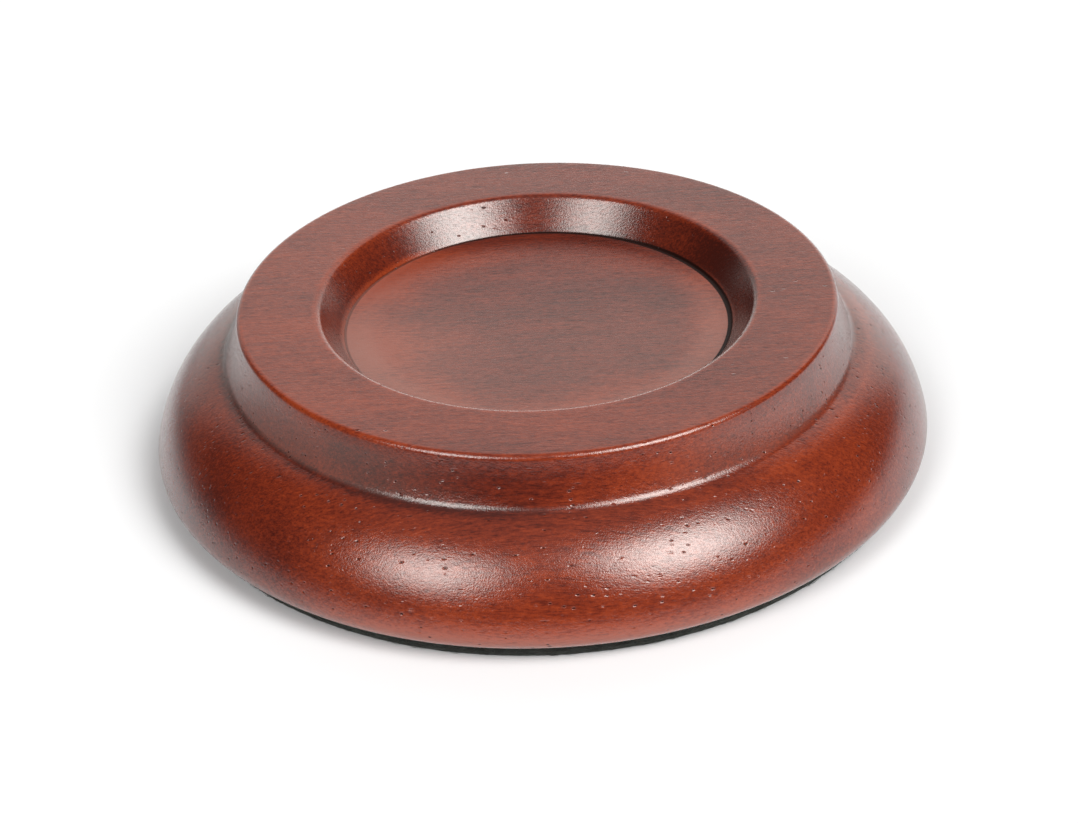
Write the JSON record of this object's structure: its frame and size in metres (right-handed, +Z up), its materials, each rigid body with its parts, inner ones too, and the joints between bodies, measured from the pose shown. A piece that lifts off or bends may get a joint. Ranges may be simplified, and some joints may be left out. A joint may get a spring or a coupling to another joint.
{
  "type": "castor cup",
  "caption": "Round turned wooden castor cup with a shallow recess for a furniture castor, a flared neck over a rounded bead, and a felt pad underneath.",
  "frame": {"origin": "centre of the felt's underside, where the cup stands on the floor", "axes": "+Z up along the turning axis, the recess opens towards +Z, the wood's grain runs along X"},
  "size_m": [0.09, 0.09, 0.0196],
  "materials": {
    "wood": "reddish brown stain under satin lacquer",
    "felt": "black pressed felt"
  },
  "bodies": {
    "root": {"cup": "wood", "felt_pad": "felt"}
  },
  "joints": []
}
